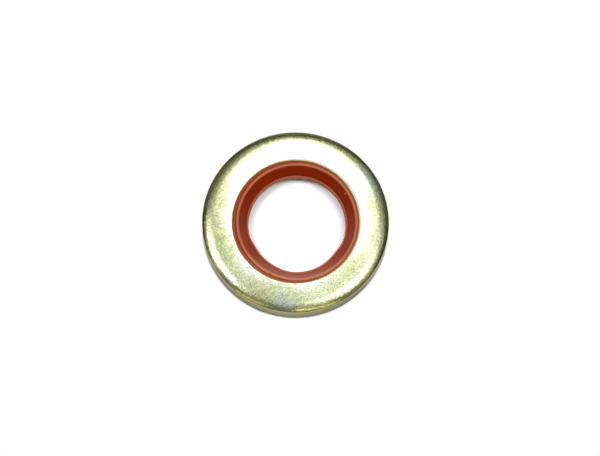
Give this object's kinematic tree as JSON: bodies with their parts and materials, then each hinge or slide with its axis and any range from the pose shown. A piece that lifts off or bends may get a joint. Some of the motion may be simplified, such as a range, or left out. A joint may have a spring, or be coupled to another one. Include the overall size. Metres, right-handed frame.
{
  "type": "bonded lip seal",
  "caption": "Round bonded lip seal: a yellow zinc plated pressed steel cup with a moulded red-brown rubber lip bonded round its opening, to seal a turning shaft in a housing.",
  "frame": {"origin": "on the seal's axis, in the plane of the case's open rim", "axes": "+Z along the shaft's axis, from the open rim to the flange face; the part is round, so X and Y are any two directions across it"},
  "size_m": [0.052, 0.052, 0.007],
  "materials": {
    "plated_steel": "semi-bright zinc plate with a thin yellow-green chromate film",
    "lip_rubber": "satin moulded rubber"
  },
  "bodies": {
    "root": {"steel_case": "plated_steel", "rubber_lip": "lip_rubber"}
  },
  "joints": []
}
